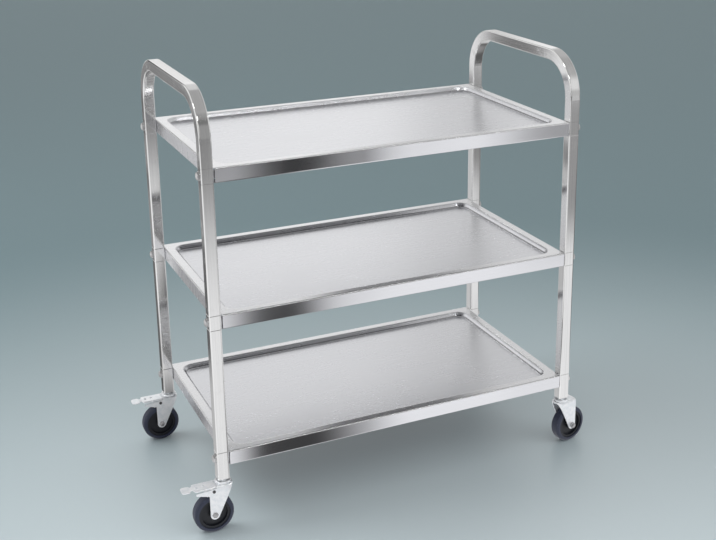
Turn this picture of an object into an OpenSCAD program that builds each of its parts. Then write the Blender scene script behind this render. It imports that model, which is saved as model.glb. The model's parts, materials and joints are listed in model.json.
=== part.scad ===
// Three-tray serving trolley: square tube frame, pressed trays, two U handles, four swivel castors.
// X runs along the length, Y towards the rear, Z up from the floor. The origin is on the floor,
// midway between the four legs.

/* [Trolley] */
// Length over the outer faces of the legs
length = 760; // [600:10:900]
// Depth over the front and rear faces of the legs
depth = 410; // [320:5:520]
// Height of the handles above the floor
height = 832; // [800:1:950]
// Height of the bottom tray's ledge above the floor
bottom_tray_z = 160; // [150:1:190]
// Height from one tray's ledge to the next
tray_pitch = 270; // [220:5:290]

/* [Frame tube] */
// Width of the square tube
tube = 22; // [20:0.5:25]
// Wall of the square tube
tube_wall = 1.2; // [1:0.1:1.6]
// Outer corner radius of the square tube
tube_r = 2.6; // [2:0.1:3.2]
// Bevel on the cut ends of legs and sockets
end_bevel = 0.7; // [0.3:0.1:1]
// Centre line radius of the handle bends
handle_bend_r = 78; // [50:1:90]
// Wall of the splice tubes inside the joints
splice_wall = 1.5; // [1:0.1:2]
// How far a splice reaches past its socket into a leg or handle
splice_reach = 32; // [20:1:45]
// Gap between a splice or castor insert and the tube around it
splice_gap = 0.1; // [0.05:0.05:0.3]

/* [Trays] */
// Thickness of the tray sheet
sheet = 0.8; // [0.6:0.1:1.2]
// Height of the turned-down flange
flange_h = 27.5; // [24:0.5:34]
// Outer bend radius along the tray's edges
edge_r = 2.4; // [1.6:0.1:3]
// Width of the return lip at the foot of the flange
lip_w = 8; // [5:1:12]
// Width of the flat ledge round the tray
ledge_w = 16; // [12:1:24]
// Depth of the sunken panel below the ledge
recess_depth = 9; // [8:0.5:10]
// Plan radius of the recess corners along the shoulder
recess_corner_r = 27; // [22:1:40]
// Radius of the rounded shoulder, on the outside of the sheet
shoulder_r = 3.4; // [2:0.1:3.8]
// Radius of the fillet at the foot of the wall, on the outside of the sheet
foot_r = 4.4; // [3:0.1:4.6]
// Slope of the recess wall from level
wall_angle = 58; // [50:1:70]
// Side of the square notch at each tray corner
corner_notch = 2.2; // [1.6:0.1:3]

/* [Stiffeners] */
// Length of the stiffener under each tray
stiffener_l = 600; // [400:10:680]
// Width of the stiffener's web
stiffener_w = 42; // [30:1:60]
// Height of the stiffener
stiffener_h = 13; // [8:1:15]
// Width of the stiffener's spot-weld flanges
stiffener_flange = 12; // [8:1:20]

/* [Corner bolts] */
// Diameter of the corner bolts
bolt_d = 8; // [6:1:8]
// Radial clearance of the corner bolts
bolt_clear = 0.2; // [0.1:0.05:0.4]
// Width across flats of bolt heads and nuts
bolt_af = 13; // [10:0.5:13]
// Height of the domed bolt head
bolt_head_h = 5.3; // [5:0.1:8]
// Height of the nuts
nut_h = 6.5; // [5:0.1:7]
// Bolt end left outside its nut
bolt_spare = 3; // [1:0.5:5]
// Diameter of the washers
washer_d = 17; // [15:0.5:20]
// Thickness of the washers
washer_t = 1.6; // [1:0.1:2]

/* [Castors] */
// Height from the floor to the foot of the corner posts
castor_h = 105; // [98:0.5:108]
// Distance from the stem axis to the axle
trail = 21; // [17:0.5:24]
// Swivel of the two left castors, with 0 trailing to the left
left_swivel = 0; // [-30:1:30]
// Swivel of the front right castor
front_right_swivel = 190; // [170:1:220]
// Swivel of the rear right castor
rear_right_swivel = 188; // [170:1:220]
// Diameter of the stem inside the insert
stem_d = 10; // [8:0.5:12]
// Length of the stem above the foot of the post
stem_l = 24; // [18:1:26]
// Height of the insert in the post
insert_h = 27; // [22:1:28]
// Diameter of the kingpin through the fork
kingpin_d = 8; // [7:0.5:10]
// Running clearance of pins and axles, on the radius
run_clear = 0.06; // [0.03:0.01:0.1]
// Gap between the post and the bearing cup
cup_drop = 2.8; // [1.5:0.1:4]
// Diameter of the upper bearing cup
cup_d = 30; // [26:0.5:30]
// Thickness of the bearing cup
cup_t = 1.8; // [1.2:0.1:2]
// Diameter of the circle that the balls run on
ball_circle_d = 17; // [16:0.5:18]
// Diameter of the bearing balls
ball_d = 4; // [3:0.1:4.2]
// Number of bearing balls
ball_count = 11; // [8:1:12]

/* [Fork] */
// Thickness of the fork's sheet
fork_t = 2; // [1.6:0.1:2.4]
// Gap between the wheel and each cheek of the fork
wheel_gap = 1.2; // [1:0.1:2]
// Outer bend radius where the crown meets a cheek
fork_bend_r = 5; // [4:0.1:5.5]
// How far the crown reaches ahead of the stem axis
crown_front = 17; // [15:0.5:20]
// Plan radius of the crown's front corners
crown_corner_r = 10; // [6:0.5:13.5]
// Radius of the cheek's lower end
cheek_end_r = 8.8; // [8:0.1:11]
// Depth of the cheek's front corner below the crown
cheek_front_z = 5.1; // [4:0.1:9]

/* [Brake] */
// How far the brake arms reach behind the axle
arm_reach = 33.5; // [30:0.5:37]
// Depth of the arms' top edge below the crown, at the root
arm_top_z = 4.5; // [4.1:0.1:6]
// How far the arms' top edge drops to the tip
arm_drop = 3.2; // [2.8:0.1:4]
// Height of the arm at its root
arm_root_h = 13; // [11:0.5:15]
// Height of the arm at its tip
arm_tip_h = 4.4; // [4.2:0.1:7]
// Depth of the pedal's pin below the crown
pin_z = 10.3; // [10.1:0.1:11]
// Diameter of the pedal's pin
pin_d = 4; // [3:0.5:5]
// Thickness of the pedal's sheet
pedal_t = 1.8; // [1.5:0.1:2.2]
// Depth of the pedal's top below the crown
pedal_z = 0.9; // [0.1:0.1:1.1]
// Depth of the pedal's side skirts, at the outer end
skirt_h = 3; // [2:0.1:3.4]
// Gap between the pedal's ears and the cheeks
pedal_gap = 0.5; // [0.3:0.1:0.8]
// Plan radius of the pedal's outer corners
pedal_corner_r = 7; // [3:0.5:10]
// How far the pedal reaches behind the axle
pedal_reach = 37.5; // [36:0.5:41]
// How far the toe plate reaches behind the stem axis
toe_reach = 79; // [74:1:90]
// Width of the toe plate
toe_w = 22; // [16:1:26]
// How far the toe plate lies below the pedal's top
toe_drop = 1; // [0:0.1:3]
// Width of the neck between the pedal and its toe plate
neck_w = 11; // [8:1:14]
// Gap between the brake tongue and the tyre when it is off
brake_gap = 1.5; // [1.4:0.1:2.5]
// Wire diameter of the brake spring
wire_d = 1; // [0.8:0.1:1.2]
// Turns of the brake spring
spring_turns = 6; // [4:1:8]

/* [Wheels] */
// Diameter over the tyre
wheel_d = 76; // [72:1:80]
// Width of the tyre
tyre_w = 22; // [20:0.5:24]
// Thickness of the tyre on the hub
tyre_t = 8; // [6:0.5:10]
// Radius of the tyre's shoulders
tyre_shoulder_r = 5.5; // [4:0.5:9]
// Diameter of the axle bolt
axle_d = 6; // [5:0.5:8]
// Diameter of the hub's boss
boss_d = 20; // [16:0.5:24]
// Thickness of the hub's web
web_t = 9; // [6:0.5:12]
// Width of the hub's rim
rim_w = 18; // [14:0.5:19]
// Thickness of the hub's rim
rim_t = 5; // [3:0.5:7]
// Width across flats of the axle's head and nut
axle_af = 10; // [8:0.5:13]
// Height of the axle's head
axle_head_h = 3.2; // [2.5:0.1:6]

/* [Hidden] */
$fn = 64;
// Overlap of cutting shapes past the faces that they cut
past = 1;

// Places of the frame
leg_x = length / 2 - tube / 2;
leg_y = depth / 2 - tube / 2;
tray_l = length - 2 * tube;
tray_z = [bottom_tray_z, bottom_tray_z + tray_pitch, bottom_tray_z + 2 * tray_pitch];
splice_w = tube - 2 * tube_wall - 2 * splice_gap;
splice_r = tube_r - tube_wall - splice_gap;

// Castor places, seen from the stem axis at the foot of a post
axle_z = wheel_d / 2 - castor_h;
cup_top_z = -cup_drop;
cup_skirt = 1.2;
cup_edge_r = 2;
cup_rim_gap = 0.4;
// Depth of the ball grooves, and the play of the balls in them
groove = 0.35;
groove_play = 0.06;
ball_z = cup_top_z - cup_t - ball_d / 2 + groove;
crown_z = ball_z - ball_d / 2 + groove;
fork_w = tyre_w + 2 * wheel_gap + 2 * fork_t;
cheek_y = fork_w / 2 - fork_t;
rivet_d = 13;
rivet_h = 2.6;
rivet_gap = 0.3;
hub_half_w = cheek_y - 0.5;
tyre_seat_gap = 0.05;

// Pedal places, seen from the stem axis at the foot of a post
pedal_top_z = crown_z - pedal_z;
pivot_z = crown_z - pin_z;
pedal_w = fork_w - 0.4;
ear_y = cheek_y - pedal_gap;
ear_r = 4.6;
crown_rear = -cup_d / 2 - 0.5;
pedal_front = crown_rear - 0.8;
pedal_rear = -trail - pedal_reach;
neck_l = 5;
tongue_x = -trail - 11.5;
hole_x = tongue_x - 5.5;
tongue_w = 18;
tongue_z = axle_z + sqrt(pow(wheel_d / 2, 2) - pow(tongue_x + pedal_t / 2 + trail, 2)) + brake_gap;

module rounded_rect(w, h, r) {
    square([w - 2 * r, h], center = true);
    square([w, h - 2 * r], center = true);
    for (x = [-1, 1], y = [-1, 1]) translate([x * (w / 2 - r), y * (h / 2 - r)]) circle(r);
}

module at_corners() {
    for (x = [-1, 1], y = [-1, 1]) translate([x * leg_x, y * leg_y, 0]) children();
}

// Trays

// Section through the recess wall: the arc centres stay, and grow thickens the shape by one sheet
module recess_profile(grow, top) {
    drop = recess_depth - (shoulder_r + foot_r) * (1 - cos(wall_angle));
    run = [-cos(wall_angle), -sin(wall_angle)] * drop / sin(wall_angle);
    normal = [-sin(wall_angle), cos(wall_angle)];
    shoulder = [recess_corner_r, -shoulder_r];
    foot = shoulder + normal * shoulder_r + run + normal * foot_r;
    intersection() {
        union() {
            difference() {
                polygon([
                    [0, top], [shoulder.x, top], [shoulder.x, -grow],
                    shoulder + normal * (shoulder_r - grow), foot - normal * (foot_r + grow),
                    [foot.x, -recess_depth - grow], [0, -recess_depth - grow]
                ]);
                translate(shoulder) circle(shoulder_r - grow);
            }
            translate(foot) circle(foot_r + grow);
        }
        translate([0, -recess_depth - 2 * past]) square([2 * recess_corner_r, recess_depth + 2 * past + top]);
    }
}

// The recess as a solid, made of four turned corners and two crossing straight runs
module recess(grow, top) {
    x = tray_l / 2 - ledge_w - recess_corner_r;
    y = depth / 2 - ledge_w - recess_corner_r;
    for (i = [-1, 1], j = [-1, 1]) translate([i * x, j * y, 0]) rotate_extrude() recess_profile(grow, top);
    rotate([90, 0, 90]) linear_extrude(2 * x, center = true) across(y, grow, top);
    rotate([90, 0, 0]) linear_extrude(2 * y, center = true) across(x, grow, top);
}

module across(half, grow, top) {
    translate([-half, -recess_depth - grow]) square([2 * half, recess_depth + grow + top]);
    for (i = [0, 1]) mirror([i, 0]) translate([half, 0]) recess_profile(grow, top);
}

// The tray's outer box with rounded long edges, or its inside when inset by one sheet
module tray_box(inset) {
    translate([0, 0, -flange_h / 2]) intersection() {
        rotate([90, 0, 90]) linear_extrude(tray_l - 2 * inset, center = true)
            rounded_rect(depth - 2 * inset, flange_h - 2 * inset, edge_r - inset);
        rotate([90, 0, 0]) linear_extrude(depth - 2 * inset, center = true)
            rounded_rect(tray_l - 2 * inset, flange_h - 2 * inset, edge_r - inset);
    }
}

module tray(z) {
    color("gainsboro") translate([0, 0, z]) difference() {
        union() {
            difference() {
                tray_box(0);
                tray_box(sheet);
                translate([0, 0, -flange_h])
                    cube([tray_l - 2 * lip_w, depth - 2 * lip_w, flange_h], center = true);
            }
            recess(sheet, 0);
        }
        recess(0, past);
        for (x = [-1, 1], y = [-1, 1]) translate([x * tray_l / 2, y * depth / 2, -flange_h / 2])
            cube([2 * corner_notch, 2 * corner_notch, flange_h + 2 * past], center = true);
        for (y = [-1, 1]) translate([0, y * leg_y, -flange_h / 2])
            rotate([0, 90, 0]) cylinder(h = length, r = bolt_d / 2 + bolt_clear, center = true);
    }
}

module top_tray() { tray(tray_z[2]); }
module middle_tray() { tray(tray_z[1]); }
module bottom_tray() { tray(tray_z[0]); }

module stiffener_profile() {
    for (i = [0, 1]) mirror([i, 0]) {
        translate([stiffener_w / 2 - sheet, -sheet]) square([stiffener_flange, sheet]);
        translate([stiffener_w / 2 - sheet, -stiffener_h]) square([sheet, stiffener_h]);
    }
    translate([-stiffener_w / 2, -stiffener_h]) square([stiffener_w, sheet]);
}

module tray_stiffeners() {
    color("silver") for (z = tray_z) translate([0, 0, z - recess_depth - sheet])
        rotate([90, 0, 90]) linear_extrude(stiffener_l, center = true) stiffener_profile();
}

// Frame

module bevelled_side(len, w) {
    b = end_bevel;
    polygon([
        [-w / 2 + b, 0], [w / 2 - b, 0], [w / 2, b], [w / 2, len - b],
        [w / 2 - b, len], [-w / 2 + b, len], [-w / 2, len - b], [-w / 2, b]
    ]);
}

// A cut length of the frame tube, bevelled at both ends
module cut_tube(len) {
    difference() {
        intersection() {
            linear_extrude(len) rounded_rect(tube, tube, tube_r);
            rotate([90, 0, 0]) linear_extrude(tube, center = true) bevelled_side(len, tube);
            rotate([90, 0, 90]) linear_extrude(tube, center = true) bevelled_side(len, tube);
        }
        translate([0, 0, -past]) linear_extrude(len + 2 * past)
            rounded_rect(tube - 2 * tube_wall, tube - 2 * tube_wall, tube_r - tube_wall);
    }
}

module bolt_way(z, clear) {
    translate([0, 0, z]) rotate([0, 90, 0]) cylinder(h = tube + 2 * past, r = bolt_d / 2 + clear, center = true);
}

module sockets(z, len) {
    color("lightgray") at_corners() translate([0, 0, z]) difference() {
        cut_tube(len);
        bolt_way(len - flange_h / 2, bolt_clear);
    }
}

module top_corner_sockets() { sockets(tray_z[2] - flange_h, flange_h); }
module middle_corner_sockets() { sockets(tray_z[1] - flange_h, flange_h); }
module bottom_corner_posts() { sockets(castor_h, bottom_tray_z - castor_h); }

// A splice runs from below a tray's bolts to above the tray
module splices(low, high, bolt_z) {
    color("darkgray") at_corners() difference() {
        translate([0, 0, low]) linear_extrude(high - low) difference() {
            rounded_rect(splice_w, splice_w, splice_r);
            rounded_rect(splice_w - 2 * splice_wall, splice_w - 2 * splice_wall, splice_r / 2);
        }
        bolt_way(bolt_z, bolt_clear);
    }
}

module tray_splices(i) {
    splices(tray_z[i] - flange_h - splice_reach, tray_z[i] + splice_reach, tray_z[i] - flange_h / 2);
}

module top_splices() { tray_splices(2); }
module middle_splices() { tray_splices(1); }
module bottom_splices() {
    splices(castor_h + insert_h, bottom_tray_z + splice_reach, bottom_tray_z - flange_h / 2);
}

module leg(x, y, i) {
    low = tray_z[i];
    high = tray_z[i + 1] - flange_h;
    color("lightgray") translate([x * leg_x, y * leg_y, low]) cut_tube(high - low);
}

module front_left_lower_leg() { leg(-1, -1, 0); }
module front_right_lower_leg() { leg(1, -1, 0); }
module rear_left_lower_leg() { leg(-1, 1, 0); }
module rear_right_lower_leg() { leg(1, 1, 0); }
module front_left_upper_leg() { leg(-1, -1, 1); }
module front_right_upper_leg() { leg(1, -1, 1); }
module rear_left_upper_leg() { leg(-1, 1, 1); }
module rear_right_upper_leg() { leg(1, 1, 1); }

// The U bend as a solid bar of the given width: two uprights, two quarter bends and the grip
module handle_bar(w, r, low) {
    bend_z = height - tube / 2 - handle_bend_r;
    bend_y = leg_y - handle_bend_r;
    for (s = [0, 1]) mirror([0, s, 0]) {
        translate([0, leg_y, low]) linear_extrude(bend_z - low) rounded_rect(w, w, r);
        translate([0, bend_y, bend_z]) rotate([90, 0, 90]) rotate_extrude(angle = 90)
            translate([handle_bend_r, 0]) rounded_rect(w, w, r);
    }
    translate([0, 0, height - tube / 2]) rotate([90, 0, 0])
        linear_extrude(2 * bend_y, center = true) rounded_rect(w, w, r);
}

module handle(x) {
    color("whitesmoke") translate([x * leg_x, 0, 0]) difference() {
        handle_bar(tube, tube_r, tray_z[2]);
        handle_bar(tube - 2 * tube_wall, tube_r - tube_wall, tray_z[2] - past);
    }
}

module left_handle() { handle(-1); }
module right_handle() { handle(1); }

// Corner bolts, along X from the outer face of each socket into the tray's end flange

module at_bolts() {
    for (z = tray_z, x = [0, 1], y = [-1, 1]) mirror([x, 0, 0])
        translate([length / 2, y * leg_y, z - flange_h / 2]) rotate([0, 90, 0]) children();
}

module hexagon(af, h) {
    cylinder(h = h, d = af / cos(30), $fn = 6);
}

// A hexagon head whose top is turned to a low dome
module domed_head(af, h) {
    intersection() {
        hexagon(af, h);
        translate([0, 0, h - af]) sphere(af);
    }
}

module corner_bolts() {
    grip = washer_t + tube + sheet + nut_h + bolt_spare;
    color("silver") at_bolts() translate([0, 0, washer_t]) {
        domed_head(bolt_af, bolt_head_h);
        translate([0, 0, -grip]) cylinder(h = grip, d = bolt_d);
    }
}

module ring(d, bore, h) {
    difference() {
        cylinder(h = h, d = d);
        translate([0, 0, -past]) cylinder(h = h + 2 * past, d = bore);
    }
}

module corner_washers() {
    color("silver") at_bolts() ring(washer_d, bolt_d + 2 * bolt_clear, washer_t);
}

module corner_nuts() {
    color("silver") at_bolts() translate([0, 0, -tube - sheet - nut_h]) difference() {
        hexagon(bolt_af, nut_h);
        translate([0, 0, -past]) cylinder(h = nut_h + 2 * past, r = bolt_d / 2 + run_clear);
    }
}

// Castors, each drawn from its stem axis at the foot of a post and trailing towards -X

module castor_inserts() {
    color("dimgray") at_corners() translate([0, 0, castor_h]) difference() {
        linear_extrude(insert_h) rounded_rect(splice_w, splice_w, splice_r);
        translate([0, 0, -past]) cylinder(h = stem_l + past, r = stem_d / 2 + run_clear);
    }
}

// Stem, collar, bearing cup and kingpin, turned about the swivel axis
module castor_stem() {
    cup_r = cup_d / 2;
    skirt_z = crown_z + cup_rim_gap;
    pin_end = crown_z - fork_t - rivet_gap - rivet_h;
    rotate_extrude() difference() {
        union() {
            square([stem_d / 2, stem_l]);
            translate([0, cup_top_z]) square([tube / 2 - 2, -cup_top_z]);
            translate([0, skirt_z]) square([cup_r, cup_top_z - cup_edge_r - skirt_z]);
            translate([0, skirt_z]) square([cup_r - cup_edge_r, cup_top_z - skirt_z]);
            translate([cup_r - cup_edge_r, cup_top_z - cup_edge_r]) circle(cup_edge_r);
            translate([0, pin_end]) square([kingpin_d / 2, cup_top_z - pin_end]);
            translate([0, pin_end]) square([rivet_d / 2, rivet_h]);
        }
        translate([kingpin_d / 2, skirt_z - past])
            square([cup_r - cup_skirt - kingpin_d / 2, cup_top_z - cup_t - skirt_z + past]);
        translate([ball_circle_d / 2, ball_z]) circle(ball_d / 2 + groove_play);
    }
}

module castor_stems() {
    color("silver") at_corners() translate([0, 0, castor_h]) castor_stem();
}

module balls() {
    color("silver") for (i = [0 : ball_count - 1]) rotate([0, 0, (i + 0.5) * 360 / ball_count])
        translate([ball_circle_d / 2, 0, ball_z]) sphere(d = ball_d, $fn = 24);
}

// Side view of a cheek with the stem axis at x = 0: rounded lower end, straight rear edge, slanted
// front edge up to the crown
module cheek_profile() {
    x = -trail;
    z = axle_z;
    front = [crown_front - 2.5, crown_z - cheek_front_z];
    reach = front - [x, z];
    tangent = atan2(reach.y, reach.x) - acos(cheek_end_r / norm(reach));
    touch = [x, z] + cheek_end_r * [cos(tangent), sin(tangent)];
    translate([x, z]) circle(cheek_end_r);
    polygon([
        [x - cheek_end_r, z], [x, z], touch, front, [crown_front, front.y + 3],
        [crown_front, crown_z], [x - cheek_end_r, crown_z]
    ]);
}

// Side view of a brake arm: it tapers from the cheek's rear edge to a rounded tip
module arm_profile() {
    root = -trail - cheek_end_r;
    tip = -trail - arm_reach;
    top = crown_z - arm_top_z;
    low = top - arm_drop - arm_tip_h;
    r = 2;
    difference() {
        union() {
            polygon([
                [root + past, top], [tip + r, top], [tip + r, low], [root - 3, top - arm_root_h],
                [root, top - arm_root_h - 3], [root + past, top - arm_root_h - 3]
            ]);
            translate([tip, low + r]) square([2 * r, arm_tip_h]);
            translate([tip + r, low + r]) circle(r);
        }
        translate([root - 3, top - arm_root_h - 3]) circle(3);
    }
}

// Everything below the sloping top edge of the arms and behind the crown
module below_arm_top() {
    top = crown_z - arm_top_z;
    tip = -trail - arm_reach;
    polygon([
        [crown_rear, top], [tip + 1, top - arm_drop], [tip, top - arm_drop - 1],
        [tip - past, axle_z - 2 * cheek_end_r], [crown_rear, axle_z - 2 * cheek_end_r]
    ]);
}

// Front view of the fork's outside, or of its inside when inset by one sheet
module fork_profile(inset) {
    low = axle_z - 2 * cheek_end_r;
    h = crown_z - low - inset;
    w = fork_w - 2 * inset;
    translate([0, low]) {
        translate([-w / 2, 0]) square([w, h - fork_bend_r + inset]);
        translate([0, h / 2]) rounded_rect(w, h, fork_bend_r - inset);
    }
}

// Plan of the fork, with a round front and cut straight at the given x
module fork_plan(inset, rear) {
    front = crown_front - inset;
    intersection() {
        translate([front - toe_reach, 0])
            rounded_rect(2 * toe_reach, fork_w - 2 * inset, crown_corner_r - inset);
        translate([rear, -fork_w]) square([front - rear, 2 * fork_w]);
    }
}

module fork_body(inset, rear) {
    intersection() {
        rotate([90, 0, 90]) linear_extrude(2 * toe_reach, center = true) fork_profile(inset);
        translate([0, 0, -castor_h]) linear_extrude(castor_h) fork_plan(inset, rear);
    }
}

module fork(braked) {
    color("white") difference() {
        union() {
            intersection() {
                difference() {
                    fork_body(0, braked ? crown_rear : -trail - cheek_end_r);
                    fork_body(fork_t, -toe_reach);
                }
                rotate([90, 0, 0]) linear_extrude(fork_w, center = true) cheek_profile();
            }
            if (braked) for (s = [-1, 1]) translate([0, s * (fork_w - fork_t) / 2, 0]) rotate([90, 0, 0])
                linear_extrude(fork_t, center = true) intersection() {
                    union() {
                        cheek_profile();
                        arm_profile();
                    }
                    below_arm_top();
                }
        }
        translate([0, 0, crown_z - 2 * fork_t]) cylinder(h = 4 * fork_t, r = kingpin_d / 2 + run_clear);
        rotate_extrude() translate([ball_circle_d / 2, ball_z]) circle(ball_d / 2 + groove_play);
        translate([-trail, 0, axle_z]) rotate([90, 0, 0])
            cylinder(h = 2 * fork_w, r = axle_d / 2 + run_clear, center = true);
        if (braked) translate([-trail, 0, pivot_z]) rotate([90, 0, 0])
            cylinder(h = 2 * fork_w, r = pin_d / 2 + run_clear, center = true);
    }
}

module axle() {
    color("silver") translate([-trail, -fork_w / 2, axle_z]) rotate([90, 0, 0]) {
        domed_head(axle_af, axle_head_h);
        translate([0, 0, -fork_w - 7]) cylinder(h = fork_w + 7, d = axle_d);
    }
}

module axle_nut() {
    color("silver") translate([-trail, fork_w / 2 + 5.5, axle_z]) rotate([90, 0, 0]) difference() {
        hexagon(axle_af, 5.5);
        translate([0, 0, -past]) cylinder(h = 5.5 + 2 * past, r = axle_d / 2 + run_clear);
    }
}

// Section of the hub from the axle outwards: boss, dished web and rim
module hub_profile() {
    rim_out = wheel_d / 2 - tyre_t - tyre_seat_gap;
    translate([axle_d / 2 + run_clear, -hub_half_w])
        square([boss_d / 2 - axle_d / 2 - run_clear, 2 * hub_half_w]);
    translate([axle_d / 2 + run_clear, -web_t / 2]) square([rim_out - axle_d / 2 - run_clear, web_t]);
    translate([rim_out - rim_t, -rim_w / 2]) square([rim_t, rim_w]);
}

module hub() {
    color("dimgray") translate([-trail, 0, axle_z]) rotate([90, 0, 0]) rotate_extrude() hub_profile();
}

module tyre() {
    r = wheel_d / 2;
    color("darkslategray") translate([-trail, 0, axle_z]) rotate([90, 0, 0]) rotate_extrude()
        intersection() {
            translate([r - tyre_t, -tyre_w / 2]) square([tyre_t, tyre_w]);
            translate([0, 0]) rounded_rect(2 * r, tyre_w, tyre_shoulder_r);
        }
}

// Front view of the pedal: a channel with rounded edges
module pedal_section() {
    h = 6 * skirt_h;
    difference() {
        translate([0, pedal_top_z - h / 2]) rounded_rect(pedal_w, h, pedal_t + 1);
        translate([0, pedal_top_z - pedal_t - h / 2]) rounded_rect(pedal_w - 2 * pedal_t, h, 1);
    }
}

module pedal_plan() {
    l = pedal_front - pedal_rear;
    translate([pedal_rear + l / 2, 0]) rounded_rect(l, pedal_w, pedal_corner_r);
    translate([pedal_rear + l / 2, -pedal_w / 2]) square([l / 2, pedal_w]);
}

// Side view of the pedal: the skirts are deeper at the inner end
module pedal_side() {
    polygon([
        [pedal_front, pedal_top_z + past], [pedal_rear - past, pedal_top_z + past],
        [pedal_rear - past, pedal_top_z - skirt_h], [pedal_front - 8, pedal_top_z - skirt_h - 0.6],
        [pedal_front, pedal_top_z - pedal_t]
    ]);
}

// Side view of the toe strip: it leaves the pedal, drops over the neck and runs out level
module toe_side() {
    low = pedal_top_z - pedal_t;
    out = pedal_top_z - toe_drop;
    polygon([
        [pedal_rear + 2, pedal_top_z], [pedal_rear - 0.5, pedal_top_z], [pedal_rear - neck_l, out],
        [-toe_reach, out], [-toe_reach, out - pedal_t], [pedal_rear - neck_l, out - pedal_t],
        [pedal_rear - 0.5, low], [pedal_rear + 2, low]
    ]);
}

module toe_plan() {
    l = toe_reach + pedal_rear - neck_l + 1;
    translate([pedal_rear - neck_l - 2, -neck_w / 2]) square([neck_l + 4, neck_w]);
    translate([-toe_reach + l / 2, 0]) rounded_rect(l, toe_w, 5);
}

module pedal() {
    color("white") difference() {
        union() {
            intersection() {
                rotate([90, 0, 90]) linear_extrude(3 * toe_reach, center = true) pedal_section();
                rotate([90, 0, 0]) linear_extrude(fork_w, center = true) pedal_side();
                translate([0, 0, -castor_h]) linear_extrude(castor_h) pedal_plan();
            }
            intersection() {
                rotate([90, 0, 0]) linear_extrude(fork_w, center = true) toe_side();
                translate([0, 0, -castor_h]) linear_extrude(castor_h) toe_plan();
            }
            for (s = [-1, 1]) translate([-trail, s * (ear_y - pedal_t / 2), pivot_z]) rotate([90, 0, 0])
                linear_extrude(pedal_t, center = true) {
                    circle(ear_r);
                    translate([-ear_r, 0]) square([2 * ear_r, pedal_top_z - pivot_z - pedal_t / 2]);
                }
            translate([tongue_x - pedal_t / 2, -tongue_w / 2, tongue_z])
                cube([pedal_t, tongue_w, pedal_top_z - pedal_t / 2 - tongue_z]);
        }
        translate([hole_x, 0, pedal_top_z]) cylinder(h = 3 * pedal_t, d = 5, center = true);
        translate([pedal_rear + 8, 0, pedal_top_z - 2 * pedal_t]) linear_extrude(3 * pedal_t)
            rounded_rect(4, 10, 1.9);
        translate([-trail, 0, pivot_z]) rotate([90, 0, 0])
            cylinder(h = 2 * fork_w, r = pin_d / 2 + run_clear, center = true);
    }
}

module pedal_pin() {
    head_h = 1;
    color("silver") translate([-trail, 0, pivot_z]) rotate([90, 0, 0]) {
        cylinder(h = fork_w + head_h, d = pin_d, center = true);
        for (s = [-1, 1]) translate([0, 0, s * (fork_w / 2 + head_h / 2)])
            cylinder(h = head_h, d = pin_d + 2, center = true);
    }
}

// Torsion spring on the pin: a swept wire whose two ends run out straight
function spring_path(steps) = let(
        r = pin_d / 2 + wire_d / 2 + 0.25,
        pitch = wire_d + 0.5,
        len = spring_turns * pitch,
        leg = 5
    ) concat(
        [[leg, -len / 2, r]],
        [for (i = [0 : steps]) let(a = i * 360 * spring_turns / steps)
            [-r * sin(a), -len / 2 + len * i / steps, r * cos(a)]],
        [[-leg, len / 2, r]]
    );

module swept_wire(path, d, sides) {
    n = len(path);
    rings = [for (i = [0 : n - 1]) let(
            t = path[min(i + 1, n - 1)] - path[max(i - 1, 0)],
            w = t / norm(t),
            u0 = cross(w, [0, 1, 0]),
            u = u0 / norm(u0),
            v = cross(w, u)
        ) for (k = [0 : sides - 1]) path[i] + d / 2 * (u * cos(k * 360 / sides) + v * sin(k * 360 / sides))];
    side_faces = [for (i = [0 : n - 2], k = [0 : sides - 1]) let(a = i * sides + k, b = i * sides + (k + 1) % sides)
        each [[a, b, b + sides], [a, b + sides, a + sides]]];
    ends = [[for (k = [0 : sides - 1]) sides - 1 - k], [for (k = [0 : sides - 1]) (n - 1) * sides + k]];
    polyhedron(rings, concat(side_faces, ends));
}

module brake_spring() {
    color("dimgray") translate([-trail, 0, pivot_z])
        swept_wire(spring_path(12 * spring_turns), wire_d, 6);
}

// Puts a castor piece at one corner, turned about its stem
module castor(x, y, swivel) {
    translate([x * leg_x, y * leg_y, castor_h]) rotate([0, 0, swivel]) children();
}

module front_left() { castor(-1, -1, left_swivel) children(); }
module rear_left() { castor(-1, 1, left_swivel) children(); }
module front_right() { castor(1, -1, front_right_swivel) children(); }
module rear_right() { castor(1, 1, rear_right_swivel) children(); }

module front_left_fork() { front_left() fork(true); }
module rear_left_fork() { rear_left() fork(true); }
module front_right_fork() { front_right() fork(false); }
module rear_right_fork() { rear_right() fork(false); }
module front_left_balls() { front_left() balls(); }
module rear_left_balls() { rear_left() balls(); }
module front_right_balls() { front_right() balls(); }
module rear_right_balls() { rear_right() balls(); }
module front_left_axle() { front_left() axle(); }
module rear_left_axle() { rear_left() axle(); }
module front_right_axle() { front_right() axle(); }
module rear_right_axle() { rear_right() axle(); }
module front_left_axle_nut() { front_left() axle_nut(); }
module rear_left_axle_nut() { rear_left() axle_nut(); }
module front_right_axle_nut() { front_right() axle_nut(); }
module rear_right_axle_nut() { rear_right() axle_nut(); }
module front_left_hub() { front_left() hub(); }
module rear_left_hub() { rear_left() hub(); }
module front_right_hub() { front_right() hub(); }
module rear_right_hub() { rear_right() hub(); }
module front_left_tyre() { front_left() tyre(); }
module rear_left_tyre() { rear_left() tyre(); }
module front_right_tyre() { front_right() tyre(); }
module rear_right_tyre() { rear_right() tyre(); }
module front_left_pedal() { front_left() pedal(); }
module rear_left_pedal() { rear_left() pedal(); }
module front_left_pedal_pin() { front_left() pedal_pin(); }
module rear_left_pedal_pin() { rear_left() pedal_pin(); }
module front_left_brake_spring() { front_left() brake_spring(); }
module rear_left_brake_spring() { rear_left() brake_spring(); }

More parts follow.
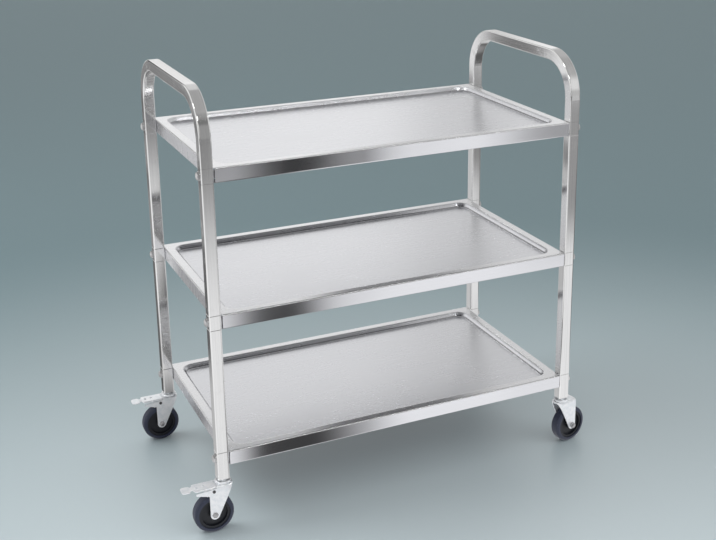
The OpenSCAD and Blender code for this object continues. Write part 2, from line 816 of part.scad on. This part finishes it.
top_tray();
middle_tray();
bottom_tray();
tray_stiffeners();
top_corner_sockets();
middle_corner_sockets();
bottom_corner_posts();
top_splices();
middle_splices();
bottom_splices();
left_handle();
right_handle();
front_left_upper_leg();
front_right_upper_leg();
rear_left_upper_leg();
rear_right_upper_leg();
front_left_lower_leg();
front_right_lower_leg();
rear_left_lower_leg();
rear_right_lower_leg();
corner_bolts();
corner_washers();
corner_nuts();
castor_inserts();
castor_stems();
front_left_fork();
front_right_fork();
rear_left_fork();
rear_right_fork();
front_left_balls();
front_right_balls();
rear_left_balls();
rear_right_balls();
front_left_axle();
front_right_axle();
rear_left_axle();
rear_right_axle();
front_left_axle_nut();
front_right_axle_nut();
rear_left_axle_nut();
rear_right_axle_nut();
front_left_hub();
front_right_hub();
rear_left_hub();
rear_right_hub();
front_left_tyre();
front_right_tyre();
rear_left_tyre();
rear_right_tyre();
front_left_pedal();
rear_left_pedal();
front_left_pedal_pin();
rear_left_pedal_pin();
front_left_brake_spring();
rear_left_brake_spring();
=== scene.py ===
import json
import math

import bpy
import numpy as np
from mathutils import Matrix, Vector


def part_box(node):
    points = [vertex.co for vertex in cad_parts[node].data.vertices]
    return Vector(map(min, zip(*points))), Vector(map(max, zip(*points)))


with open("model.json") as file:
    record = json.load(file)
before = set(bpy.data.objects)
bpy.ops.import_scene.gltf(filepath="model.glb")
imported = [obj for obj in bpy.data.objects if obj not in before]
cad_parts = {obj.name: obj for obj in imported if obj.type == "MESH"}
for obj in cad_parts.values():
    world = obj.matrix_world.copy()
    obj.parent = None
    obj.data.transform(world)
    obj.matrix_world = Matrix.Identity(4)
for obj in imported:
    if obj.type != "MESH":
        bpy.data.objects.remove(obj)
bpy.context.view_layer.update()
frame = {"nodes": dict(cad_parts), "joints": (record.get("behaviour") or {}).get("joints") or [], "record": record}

NODES = frame["nodes"]
JOINTS = {joint["name"]: joint for joint in frame["joints"]}

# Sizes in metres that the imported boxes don't give
BEND_R = 0.078
FLANGE = 0.0275
LEDGE_WIDTH = 0.016
TREAD_START = 0.0350
TREAD_FULL = 0.0375

# Places of the frame, in metres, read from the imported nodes
TRAY_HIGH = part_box("top_tray")[1]
HALF_LENGTH = TRAY_HIGH.x
HALF_DEPTH = TRAY_HIGH.y
TOP_LEDGE = TRAY_HIGH.z
PITCH = TOP_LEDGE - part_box("middle_tray")[1].z
LEG_LOW, LEG_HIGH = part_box("front_right_upper_leg")
TUBE = LEG_HIGH.x - LEG_LOW.x
LEG_X = (LEG_LOW.x + LEG_HIGH.x) / 2
LEG_Y = HALF_DEPTH - TUBE / 2
HANDLE_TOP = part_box("left_handle")[1].z
BEND_Z = HANDLE_TOP - TUBE / 2 - BEND_R
BEND_Y = LEG_Y - BEND_R
BOLT_Z = TOP_LEDGE - FLANGE / 2
CASTOR_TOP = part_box("front_left_fork")[1].z
AXLE_Z = JOINTS["front_left_wheel_spin"]["pos_m"][2]
CORNERS = ["front_left", "front_right", "rear_left", "rear_right"]

# The camera of the photograph, fitted to the trolley's edges
LENS_PIXELS = 1176.3
IMAGE_WIDTH = 716
IMAGE_HEIGHT = 540
VIEW_CENTRE = (394.4, 190.1)
CAMERA_PLACE = (-0.8919, -2.0712, 1.2495)
CAMERA_YAW = 25.057
CAMERA_PITCH = 17.126
CAMERA_ROLL = -0.394


# Shader arithmetic

class Value:
    """A shader socket in Python arithmetic: every operator adds the Math node that it stands for."""

    def __init__(self, tree, socket):
        self.tree = tree
        self.socket = socket

    def math(self, operation, *others):
        return self.tree.math(operation, self, *others)

    def __add__(self, other):
        return self.math("ADD", other)

    def __radd__(self, other):
        return self.tree.math("ADD", other, self)

    def __sub__(self, other):
        return self.math("SUBTRACT", other)

    def __rsub__(self, other):
        return self.tree.math("SUBTRACT", other, self)

    def __mul__(self, other):
        return self.math("MULTIPLY", other)

    def __rmul__(self, other):
        return self.tree.math("MULTIPLY", other, self)

    def __truediv__(self, other):
        return self.math("DIVIDE", other)

    def __abs__(self):
        return self.math("ABSOLUTE")

    def __neg__(self):
        return self.math("MULTIPLY", -1.0)


class Tree:
    """A node tree with one method for any node, and short names for those used most."""

    def __init__(self, tree):
        self.tree = tree
        tree.nodes.clear()

    def node(self, kind, settings=None, inputs=None):
        """Adds a node, sets its settings first, then feeds its sockets with values or links."""
        made = self.tree.nodes.new(kind)
        for key, value in (settings or {}).items():
            setattr(made, key, value)
        for key, value in (inputs or {}).items():
            self.feed(made.inputs[key], value)
        return made

    def feed(self, socket, value):
        if isinstance(value, Value):
            self.tree.links.new(value.socket, socket)
        elif isinstance(value, bpy.types.NodeSocket):
            self.tree.links.new(value, socket)
        else:
            socket.default_value = value

    def value(self, socket):
        return Value(self, socket)

    def math(self, operation, *terms):
        made = self.node("ShaderNodeMath", {"operation": operation}, dict(enumerate(terms)))
        return self.value(made.outputs[0])

    def larger(self, a, b):
        return self.math("MAXIMUM", a, b)

    def smaller(self, a, b):
        return self.math("MINIMUM", a, b)

    def length(self, a, b):
        """Square root of the sum of two squares."""
        return self.math("SQRT", a * a + b * b)

    def rise(self, x, low, high):
        """Goes smoothly from 0 at low to 1 at high; low may be the larger."""
        made = self.node(
            "ShaderNodeMapRange",
            {"interpolation_type": "SMOOTHSTEP"},
            {"Value": x, "From Min": min(low, high), "From Max": max(low, high)},
        )
        up = self.value(made.outputs[0])
        return up if low < high else 1.0 - up

    def band(self, x, start, full, fading, gone):
        """Rises from 0 at start to 1 at full, and falls again from 1 at fading to 0 at gone."""
        return self.rise(x, start, full) * self.rise(x, gone, fading)

    def place(self):
        """The point's x, y and z in the trolley's frame."""
        coords = self.node("ShaderNodeTexCoord").outputs["Object"]
        split = self.node("ShaderNodeSeparateXYZ", None, {0: coords})
        return [self.value(split.outputs[i]) for i in range(3)]

    def point(self, x, y, z):
        return self.node("ShaderNodeCombineXYZ", None, {0: x, 1: y, 2: z}).outputs[0]

    def noise(self, x, y, z, detail=2.0, roughness=0.5):
        """Smooth noise about 0.5 at coordinates that are already scaled."""
        made = self.node(
            "ShaderNodeTexNoise",
            None,
            {"Vector": self.point(x, y, z), "Scale": 1.0, "Detail": detail, "Roughness": roughness},
        )
        return self.value(made.outputs["Fac"])

    def blend(self, amount, first, second):
        """First colour where amount is 0, second where it is 1."""
        made = self.node("ShaderNodeMix", {"data_type": "RGBA"}, {"Factor": amount})
        self.feed(made.inputs[6], first)
        self.feed(made.inputs[7], second)
        return made.outputs[2]


def colour(r, g, b):
    return (r, g, b, 1.0)


class Finish(Tree):
    """A material with one Principled surface; uniform values go on the shader's own sockets."""

    def __init__(self, name, **uniform):
        self.material = bpy.data.materials.new(name)
        self.material.use_nodes = True
        super().__init__(self.material.node_tree)
        self.shader = self.node("ShaderNodeBsdfPrincipled")
        for key, value in uniform.items():
            self.shader.inputs[key.replace("_", " ")].default_value = value
        out = self.node("ShaderNodeOutputMaterial")
        self.tree.links.new(self.shader.outputs[0], out.inputs["Surface"])

    def paint(self, shade):
        self.feed(self.shader.inputs["Base Color"], shade)

    def polish(self, roughness):
        self.feed(self.shader.inputs["Roughness"], roughness)

    def relief(self, height, depth):
        """Bump whose height socket of 1 stands depth metres proud."""
        bump = self.node("ShaderNodeBump", None, {"Distance": depth, "Height": height})
        self.feed(self.shader.inputs["Normal"], bump.outputs[0])


def brushed(finish, across, side, along, tones, roughness, grain=0.000002, spread=0.5, sag=0.0):
    """Brushed metal: streaks and hair lines that run along one direction and vary over the two others.
    The lines stand grain metres proud, and the sheet's own sag, in metres too, is taken off them."""
    streak = finish.noise(across * 260.0, side * 260.0, along * 5.0, 3.0, 0.6)
    hair = finish.noise(across * 2600.0, side * 2600.0, along * 40.0, 2.0, 0.6)
    drift = finish.noise(across * 7.0, side * 7.0, along * 5.0, 2.0, 0.5)
    tone = finish.rise(streak * 0.55 + hair * 0.25 + drift * 0.2, 0.36, 0.64)
    shade = finish.blend(tone, tones[0], tones[1])
    rough = roughness + ((streak - 0.5) * 0.10 + (drift - 0.5) * 0.10 + (hair - 0.5) * 0.06) * spread
    finish.relief(hair * 0.7 + streak * 0.3 - sag * (1.0 / grain), grain)
    return shade, rough


# Finishes of the trolley

def tray_sheet():
    """Satin sheet, brushed along the trolley: the grain wraps down the front and rear flanges, which are
    the brightest polished. Ledges and rolled edges are burnished and carry a painted highlight, the foot
    of the recess holds a painted shade line, undersides stay dull and carry painted shade, the front
    ledges sag a little mid-length, and the panels carry a few fine swirls from wiping."""
    finish = Finish("tray_sheet", Metallic=1.0)
    x, y, z = finish.place()
    on_side = finish.rise(abs(y), HALF_DEPTH - 0.0022, HALF_DEPTH - 0.0012)
    on_end = finish.rise(abs(x), HALF_LENGTH - 0.0022, HALF_LENGTH - 0.0012)
    past_panel = finish.larger(-y - (HALF_DEPTH - LEDGE_WIDTH), 0.0)
    sag = past_panel * finish.rise(abs(x + 0.03), 0.21, 0.05) * 0.11
    tones = (colour(0.71, 0.715, 0.74), colour(0.73, 0.735, 0.76))
    shade, rough = brushed(finish, y + z * on_side, 0.0, x, tones, 0.27, 0.0000012, 0.2, sag)
    edge = finish.larger(
        finish.rise(abs(y), HALF_DEPTH - 0.0030, HALF_DEPTH - 0.0012),
        finish.rise(abs(x), HALF_LENGTH - 0.0030, HALF_LENGTH - 0.0012),
    )
    depth = finish.math("MODULO", TOP_LEDGE + 0.0001 - z, PITCH)
    outer = finish.larger(on_side, on_end)
    flange = finish.rise(depth, 0.0014, 0.0024)
    # Burnished edges, brightened: partly wear and partly a painted highlight.
    burnish_and_highlight = edge * (1.0 - flange)
    shoulder = finish.band(depth, 0.0002, 0.0008, 0.0028, 0.0036) * (1.0 - outer)
    ledge = finish.rise(depth, 0.0009, 0.0003)
    # Painted shade: a dark line at the foot of each recess wall.
    foot = finish.band(depth, 0.0063, 0.0074, 0.0086, 0.0090) * (1.0 - outer)
    # Painted shade under the trays, which are also duller there.
    underside_dull_and_shade = finish.rise(depth, 0.0094, 0.0097) * (1.0 - outer)
    wipe = finish.noise(x * 9.0, y * 16.0, z * 9.0, 4.0, 0.65)
    # Edges and ledges brightened towards pale grey: burnish and painted highlight.
    shade = finish.blend(finish.larger(burnish_and_highlight * 0.7, ledge * 0.5), shade, colour(0.86, 0.86, 0.86))
    # Painted shade: the recess foot and the trays' undersides are darkened towards dark grey.
    finish.paint(finish.blend(finish.larger(foot * 0.6, underside_dull_and_shade * 0.9), shade, colour(0.20, 0.20, 0.21)))
    rough = rough + burnish_and_highlight * 0.04 - flange * on_side * 0.13 + shoulder * 0.15 + underside_dull_and_shade * 0.2
    finish.polish(rough + finish.rise(wipe, 0.40, 0.72) * 0.012)
    return finish.material


def frame_tube():
    """Polished square tube with its grain along the tube, round the bends of the handles too. The
    distance from the bend's centre line takes the place of the depth there."""
    finish = Finish("frame_tube", Metallic=1.0)
    x, y, z = finish.place()
    past_y = abs(y) - BEND_Y
    round_bend = finish.length(finish.larger(past_y, 0.0), finish.larger(z - BEND_Z, 0.0))
    along = z - abs(y)
    tones = (colour(0.70, 0.70, 0.70), colour(0.77, 0.77, 0.765))
    shade, rough = brushed(finish, round_bend, x, along, tones, 0.085)
    off_x = abs(abs(x) - LEG_X)
    off_y = abs(round_bend - BEND_R)
    corner = finish.rise(finish.smaller(off_x, off_y), TUBE / 2 - 0.0026, TUBE / 2 - 0.0010)
    scuff = finish.rise(finish.noise(x * 30.0, y * 30.0, z * 30.0, 4.0, 0.7), 0.56, 0.70)
    # The rounded corners are brightened towards pale grey and polished: edge wear and a painted highlight.
    finish.paint(finish.blend(corner * 0.7, shade, colour(0.88, 0.88, 0.87)))
    finish.polish(rough - corner * 0.05 + scuff * 0.06)
    return finish.material


def plain_steel():
    """Mill finish of the hidden splice tubes: dull, with scale in patches."""
    finish = Finish("inner_steel", Metallic=1.0)
    x, y, z = finish.place()
    scale = finish.noise(x * 90.0, y * 90.0, z * 40.0, 4.0, 0.6)
    patches = finish.rise(scale, 0.4, 0.6)
    finish.paint(finish.blend(patches, colour(0.40, 0.40, 0.41), colour(0.52, 0.51, 0.50)))
    finish.polish(0.42 + scale * 0.2)
    finish.relief(scale, 0.00004)
    return finish.material


def fasteners():
    """Turned stainless: fine rings about the corner bolts' axes. Under the castors' tops, on the pedals'
    pins, the colour is near black, and on the axle bolts and nuts, lowest, it is mid grey."""
    finish = Finish("fasteners", Metallic=1.0)
    x, y, z = finish.place()
    level = finish.math("MODULO", z - (BOLT_Z - 3.0 * PITCH + PITCH / 2), PITCH) - PITCH / 2
    ring = finish.length(abs(y) - LEG_Y, level)
    turned = finish.noise(ring * 6000.0, x * 900.0, 0.0, 2.0, 0.6)
    mottle = finish.noise(x * 250.0, y * 250.0, z * 250.0, 3.0, 0.6)
    # Near black under the castors' tops, on the pedals' pins.
    low_dark = finish.rise(z, CASTOR_TOP + 0.008, CASTOR_TOP + 0.002)
    axle = finish.rise(z, AXLE_Z + 0.020, AXLE_Z + 0.014)
    turned_steel = finish.blend(mottle, colour(0.50, 0.50, 0.505), colour(0.68, 0.68, 0.68))
    dark_steel = finish.blend(mottle, colour(0.06, 0.06, 0.062), colour(0.13, 0.13, 0.135))
    grey_steel = finish.blend(mottle, colour(0.34, 0.34, 0.35), colour(0.48, 0.48, 0.49))
    finish.paint(finish.blend(axle, finish.blend(low_dark, turned_steel, dark_steel), grey_steel))
    finish.polish(0.20 + turned * 0.12 + mottle * 0.1 + low_dark * 0.08)
    finish.relief(turned, 0.00002)
    return finish.material


def zinc_plate():
    """Bright zinc on pressed steel: a faint blue-grey bloom in cells, and duller where it is palest."""
    finish = Finish("zinc_plate", Metallic=0.65)
    x, y, z = finish.place()
    bloom = finish.noise(x * 130.0, y * 130.0, z * 130.0, 3.0, 0.55)
    fine = finish.noise(x * 1400.0, y * 1400.0, z * 1400.0, 3.0, 0.6)
    drag = finish.noise(x * 60.0, y * 60.0, z * 700.0, 2.0, 0.6)
    cells = finish.rise(bloom * 0.7 + fine * 0.3, 0.4, 0.6)
    finish.paint(finish.blend(cells, colour(0.82, 0.85, 0.88), colour(0.92, 0.93, 0.95)))
    finish.polish(0.30 + bloom * 0.12 + drag * 0.08)
    finish.relief(fine * 0.6 + drag * 0.4, 0.00004)
    return finish.material


def insert_plastic():
    """Black nylon with a fine moulded grain."""
    finish = Finish("insert_plastic")
    x, y, z = finish.place()
    grain = finish.noise(x * 1500.0, y * 1500.0, z * 1500.0)
    finish.paint(finish.blend(grain, colour(0.010, 0.010, 0.011), colour(0.022, 0.022, 0.024)))
    finish.polish(0.40 + grain * 0.2)
    finish.relief(grain, 0.00005)
    return finish.material


def bearing_steel():
    """Polished balls with a film of grease."""
    finish = Finish("bearing_steel", Metallic=1.0)
    x, y, z = finish.place()
    film = finish.noise(x * 400.0, y * 400.0, z * 400.0, 3.0, 0.6)
    finish.paint(finish.blend(film, colour(0.52, 0.50, 0.46), colour(0.72, 0.72, 0.72)))
    finish.polish(0.06 + film * 0.16)
    return finish.material


def spring_steel():
    """Dark oiled wire."""
    finish = Finish("spring_steel", Metallic=1.0)
    x, y, z = finish.place()
    oil = finish.noise(x * 500.0, y * 500.0, z * 500.0, 3.0, 0.6)
    finish.paint(finish.blend(oil, colour(0.16, 0.15, 0.14), colour(0.30, 0.30, 0.31)))
    finish.polish(0.22 + oil * 0.2)
    return finish.material


def wheel_frame(finish, corner):
    """Radius about the wheel's axle, distance along it, and the two distances across it, level and
    upright, from the wheel's own joint."""
    joint = JOINTS[corner + "_wheel_spin"]
    centre, axis = joint["pos_m"], joint["axis"]
    x, y, z = finish.place()
    dx, dy, dz = x - centre[0], y - centre[1], z - centre[2]
    along = dx * axis[0] + dy * axis[1]
    flat = dx * axis[1] - dy * axis[0]
    return finish.length(flat, dz), along, flat, dz


def tyre_rubber(corner):
    """Slate rubber: a dusty, scuffed tread with the mould's seam, a darker side wall with faint
    rings."""
    finish = Finish("tyre_rubber_" + corner)
    radius, along, flat, dz = wheel_frame(finish, corner)
    grain = finish.noise(flat * 900.0, along * 900.0, dz * 900.0, 3.0, 0.6)
    scuff = finish.noise(flat * 140.0, along * 420.0, dz * 140.0, 4.0, 0.65)
    tread = finish.rise(radius, TREAD_START, TREAD_FULL)
    dust = tread * finish.rise(scuff, 0.42, 0.66)
    rubber = finish.blend(grain, colour(0.017, 0.022, 0.046), colour(0.029, 0.037, 0.070))
    finish.paint(finish.blend(dust * 0.40, rubber, colour(0.085, 0.092, 0.125)))
    rings = finish.math("SINE", radius * 5200.0) * 0.5 + 0.5
    seam = finish.rise(abs(along), 0.0005, 0.0002) * tread
    finish.polish(0.42 + grain * 0.12 + dust * 0.2)
    wall = rings * (1.0 - tread) * 0.35
    finish.relief(grain * 0.5 + wall + scuff * tread * 0.3 + seam * 0.8, 0.00014)
    return finish.material


def hub_plastic(corner):
    """Black moulded nylon with a fine grain and flow marks in rings round the web."""
    finish = Finish("hub_plastic_" + corner)
    radius, along, flat, dz = wheel_frame(finish, corner)
    grain = finish.noise(flat * 1300.0, along * 1300.0, dz * 1300.0, 3.0, 0.6)
    flow = finish.noise(radius * 500.0, along * 100.0, flat * 30.0, 2.0, 0.6)
    finish.paint(finish.blend(grain, colour(0.003, 0.005, 0.009), colour(0.008, 0.010, 0.016)))
    finish.polish(0.42 + grain * 0.14 + flow * 0.1)
    finish.relief(grain * 0.6 + flow * 0.4, 0.00006)
    return finish.material


SHARED = {
    "tray_sheet": tray_sheet(),
    "frame_tube": frame_tube(),
    "inner_steel": plain_steel(),
    "fasteners": fasteners(),
    "zinc_plate": zinc_plate(),
    "insert_plastic": insert_plastic(),
    "bearing_steel": bearing_steel(),
    "spring_steel": spring_steel(),
}
PER_WHEEL = {"tyre_rubber": tyre_rubber, "hub_plastic": hub_plastic}


def dress_nodes():
    """Puts each CAD node's finish into its material slots."""
    for part in frame["record"]["subparts"]:
        node, slot = part["node"], part["material_slot"]
        if slot in SHARED:
            material = SHARED[slot]
        else:
            corner = next(c for c in CORNERS if node.startswith(c))
            material = PER_WHEEL[slot](corner)
        slots = NODES[node].data.materials
        if len(slots) == 0:
            slots.append(material)
        for i in range(len(slots)):
            slots[i] = material


dress_nodes()


# Studio. Its glow, from 0 to 2, is seen only by glossy rays: it gives the steel something to mirror.
# The glow's fields lie in fixed places, laid out in degrees and metres from the photograph's camera.

FLOOR_HALF = 14.0
FULL_GLOW = 2.0
BLACK = colour(0, 0, 0)
LAMP_GLOW = colour(14, 14, 14)
LEFT_LAMP = (-0.71, 0.0, 0.70)
FRONT_LAMP = (0.10, -0.72, 0.69)
LAMP_EDGE = 0.9950  # cosine of the angle from the lamp's aim
LAMP_CORE = 0.9982
OVERHEAD = 0.46
SOFT_LIGHT = colour(0.80, 0.80, 0.80)
BACKDROP = colour(0.15, 0.22, 0.24)
FAR_FLOOR = colour(0.13, 0.20, 0.22)
TO_DEGREES = 180.0 / math.pi


def bearing(finish, x, y, eye):
    """Direction in degrees and distance of a floor point from the camera's mirror image in a face."""
    dx, dy = x - eye[0], (y - eye[1]) * (-1.0 if eye[1] > 0.0 else 1.0)
    return finish.math("ARCTAN2", dx, dy) * TO_DEGREES, finish.length(dx, dy)


def front_floor(finish, x, y):
    """What the front faces mirror: bright near the trolley and dimmer far off, with one dark lane to the
    left, a bright field beside it and a dimmer patch far to the right."""
    eye = (CAMERA_PLACE[0], -2.0 * HALF_DEPTH - CAMERA_PLACE[1])
    angle, reach = bearing(finish, x, y, eye)
    gleam = finish.rise(abs(angle - 16.9), 0.8, 0.3) * finish.rise(reach, 3.9, 4.2)
    to_left = 0.28 + finish.rise(reach, 4.6, 2.85) * 0.72 + gleam * 0.4
    to_right = 0.38 + finish.rise(reach, 3.95, 3.3) * 0.62 + finish.rise(reach, 5.4, 5.9) * 0.25
    level = to_left + finish.rise(angle, 22.8, 25.2) * (1.06 - to_left)
    level = level + finish.rise(angle, 30.2, 32.2) * (to_right - level)
    far_end = 21.8 + finish.rise(reach, 3.2, 4.2) * 1.9 + finish.rise(reach, 2.7, 2.3) * 1.7
    near_end = angle - finish.rise(reach, 3.0, 4.2) * 1.2
    slope = 1.6 + finish.rise(reach, 2.8, 2.3) * 1.2
    lane = finish.rise(near_end, 15.8, 18.0) * finish.rise((angle - far_end) / slope, 1.0, -1.0)
    lane = lane * finish.rise(reach, 1.95, 2.2)
    return level * (1.0 - lane * (0.94 + finish.rise(reach, 3.2, 4.0) * 0.05))


def back_floor(finish, x, y):
    """What the left faces mirror: bright floor behind the trolley, with a dark lane for the left side's
    tubes and a dark patch far off for the right handle's grip."""
    near_eye = (-2.0 * (LEG_X + TUBE / 2) - CAMERA_PLACE[0], CAMERA_PLACE[1])
    far_eye = (2.0 * HALF_LENGTH - CAMERA_PLACE[0], CAMERA_PLACE[1])
    turn, reach = bearing(finish, near_eye[0] * 2.0 - x, y, near_eye)
    edge = 16.6 - finish.rise(reach, 4.9, 5.5) * 1.1
    lane = finish.rise(turn, 11.4, 12.1) * finish.rise(turn - edge, 0.4, -0.4)
    between = finish.band(turn, 12.9, 13.7, 14.5, 14.9) * finish.rise(reach, 5.7, 5.3)
    tone = 0.11 + finish.rise(abs(reach - 4.7), 0.4, 0.1) * 0.14 + between * 0.48
    tone = tone + finish.rise(abs(reach - 3.85), 0.45, 0.2) * 0.14
    tone = tone + finish.rise(reach, 5.6, 6.0) * 0.13
    tone = tone + finish.rise(reach, 2.8, 2.5) * finish.rise(turn, 14.5, 15.1) * 0.45
    far_turn, far_reach = bearing(finish, far_eye[0] * 2.0 - x, y, far_eye)
    patch = finish.rise(abs(far_turn - 31.1), 2.0, 1.1) * finish.rise(far_reach, 6.2, 6.7)
    bright = 0.58 + finish.rise(x, -0.95, -1.2) * 0.40 + finish.rise(far_turn, 32.0, 30.0) * 0.12
    return (bright + lane * (tone - bright)) * (1.0 - patch * 0.80)


def studio_floor():
    """A wide pale floor that dims to the backdrop's colour far off. The steel mirrors its glow: a dark
    lane and a bright field in front, another lane behind, and a dark strip to the trolley's right."""
    mesh = bpy.data.meshes.new("studio_floor")
    h = FLOOR_HALF
    mesh.from_pydata([(-h, -h, 0), (h, -h, 0), (h, h, 0), (-h, h, 0)], [], [(0, 1, 2, 3)])
    floor = bpy.data.objects.new("studio_floor", mesh)
    bpy.context.scene.collection.objects.link(floor)
    finish = Finish("studio_floor", Specular_IOR_Level=0.9)
    x, y, z = finish.place()
    cloud = finish.noise(x * 0.7, y * 0.7, z, 2.0, 0.5)
    pale = finish.blend(cloud, colour(0.58, 0.665, 0.695), colour(0.62, 0.705, 0.735))
    out_there = finish.rise(finish.length(x + 0.3, y + 1.1), 0.2, 2.7)
    finish.paint(finish.blend(out_there, pale, FAR_FLOOR))
    finish.polish(0.28 + out_there * 0.4)
    in_front = front_floor(finish, x, y) * finish.rise(y, 0.1, -0.3)
    level = in_front + back_floor(finish, x, y) * finish.rise(y, -0.3, 0.1)
    beside = x - 0.76 - finish.larger(-0.5 - y, 0.0) * 0.55
    beside = finish.rise(beside, -0.05, 0.10) * finish.band(y, -1.85, -1.6, 0.45, 0.85)
    level = level + beside * (0.13 - level)
    shade = finish.blend(level * (1.0 / FULL_GLOW), BLACK, colour(FULL_GLOW, FULL_GLOW, 2.02))
    glow = finish.node("ShaderNodeEmission", None, {"Color": shade})
    path = finish.node("ShaderNodeLightPath").outputs["Is Glossy Ray"]
    surfaces = {0: path, 1: finish.shader.outputs[0], 2: glow.outputs[0]}
    mixed = finish.node("ShaderNodeMixShader", None, surfaces)
    out = next(n for n in finish.tree.nodes if n.type == "OUTPUT_MATERIAL")
    finish.tree.links.new(mixed.outputs[0], out.inputs["Surface"])
    mesh.materials.append(finish.material)


def spot(tree, direction, aim):
    """A small round lamp in the world: 1 towards its aim, and 0 past a few degrees from it."""
    ends = {0: direction, 1: Vector(aim).normalized()}
    made = tree.node("ShaderNodeVectorMath", {"operation": "DOT_PRODUCT"}, ends)
    return tree.rise(tree.value(made.outputs["Value"]), LAMP_EDGE, LAMP_CORE)


def studio_world():
    """An even studio light, over the camera's plain backdrop. The steel mirrors a glow that is brightest
    straight behind the trolley, with dimmer parts to both sides, overhead and in front, and two small
    lamps that glint in the bends."""
    world = bpy.data.worlds.new("studio")
    bpy.context.scene.world = world
    world.use_nodes = True
    tree = Tree(world.node_tree)
    direction = tree.node("ShaderNodeTexCoord").outputs["Generated"]
    split = tree.node("ShaderNodeSeparateXYZ", None, {0: direction})
    dx, dy, dz = [tree.value(split.outputs[i]) for i in range(3)]
    azimuth = tree.math("ARCTAN2", dx, dy) * TO_DEGREES
    right = tree.band(azimuth, 24.8, 27.4, 29.6, 33.4) * 0.36
    right = right + tree.rise(azimuth, 33.0, 35.5) * 0.30
    left = tree.rise(azimuth, -2.0, -7.0) * (0.86 - tree.rise(azimuth, -17.0, -21.5) * 0.84)
    low = tree.rise(dz, 0.215, 0.20) * tree.rise(azimuth, 20.0, 15.0) * 0.14
    behind = (1.06 - right) * (1.0 - tree.rise(dz, 0.36, 0.50) * 0.24) * (1.0 - left - low)
    before_left = 0.37 - tree.rise(abs(dz - 0.55), 0.16, 0.03) * 0.14
    before_right = 0.60 + tree.rise(dz, 0.10, 0.25) * 0.28 - tree.rise(dz, 0.46, 0.70) * 0.36
    patch = tree.rise(abs(azimuth - 147.0), 10.0, 4.0) * tree.rise(dz, 0.62, 0.70)
    before_right = before_right + patch * 0.25
    before = before_left + tree.rise(azimuth, 158.0, 146.0) * (before_right - before_left)
    level = behind + tree.rise(dy, 0.1, -0.4) * (before - behind)
    level = level + tree.rise(dz, 0.76, 0.86) * (OVERHEAD - level)
    lamps = tree.larger(spot(tree, direction, LEFT_LAMP), spot(tree, direction, FRONT_LAMP))
    full = colour(FULL_GLOW, FULL_GLOW, FULL_GLOW)
    mirrored = tree.blend(lamps, tree.blend(level * (1.0 / FULL_GLOW), BLACK, full), LAMP_GLOW)
    path = tree.node("ShaderNodeLightPath")
    shade = tree.blend(path.outputs["Is Glossy Ray"], SOFT_LIGHT, mirrored)
    shade = tree.blend(path.outputs["Is Camera Ray"], shade, BACKDROP)
    back = tree.node("ShaderNodeBackground", None, {"Color": shade, "Strength": 1.0})
    out = tree.node("ShaderNodeOutputWorld")
    tree.tree.links.new(back.outputs[0], out.inputs["Surface"])


def soft_lamp(name, place, aim, size, power):
    """A rectangular soft box that faces the aim point, and that the steel doesn't mirror."""
    lamp = bpy.data.lights.new(name, "AREA")
    lamp.shape = "RECTANGLE"
    lamp.size, lamp.size_y = size
    lamp.energy = power
    holder = bpy.data.objects.new(name, lamp)
    holder.location = place
    holder.visible_glossy = False
    holder.rotation_euler = (Vector(aim) - Vector(place)).to_track_quat("-Z", "Y").to_euler()
    bpy.context.scene.collection.objects.link(holder)


def photo_camera():
    """The photograph's camera: its direction, up and right turned by yaw, pitch and roll."""
    yaw, pitch, roll = [math.radians(a) for a in (CAMERA_YAW, CAMERA_PITCH, CAMERA_ROLL)]
    level, drop = math.cos(pitch), -math.sin(pitch)
    ahead = np.array([math.sin(yaw) * level, math.cos(yaw) * level, drop])
    flat = np.array([math.cos(yaw), -math.sin(yaw), 0.0])
    upright = np.cross(flat, ahead)
    right = flat * math.cos(roll) + upright * math.sin(roll)
    up = upright * math.cos(roll) - flat * math.sin(roll)
    camera = bpy.data.cameras.new("photo_camera")
    camera.sensor_width = 36.0
    camera.lens = LENS_PIXELS * camera.sensor_width / IMAGE_WIDTH
    camera.shift_x = (IMAGE_WIDTH / 2 - VIEW_CENTRE[0]) / IMAGE_WIDTH
    camera.shift_y = (VIEW_CENTRE[1] - IMAGE_HEIGHT / 2) / IMAGE_WIDTH
    camera.clip_end = 60.0
    holder = bpy.data.objects.new("photo_camera", camera)
    rows = [[right[i], up[i], -ahead[i], CAMERA_PLACE[i]] for i in range(3)]
    holder.matrix_world = Matrix([*rows, [0, 0, 0, 1]])
    bpy.context.scene.collection.objects.link(holder)
    bpy.context.scene.camera = holder


studio_floor()
studio_world()
soft_lamp("key", (-1.7, 0.9, 2.7), (0.0, 0.0, 0.4), (1.8, 1.8), 36.0)
soft_lamp("fill", (2.3, -2.6, 2.6), (0.0, 0.0, 0.4), (2.6, 1.6), 24.0)
photo_camera()
bpy.context.scene.view_settings.view_transform = "Standard"
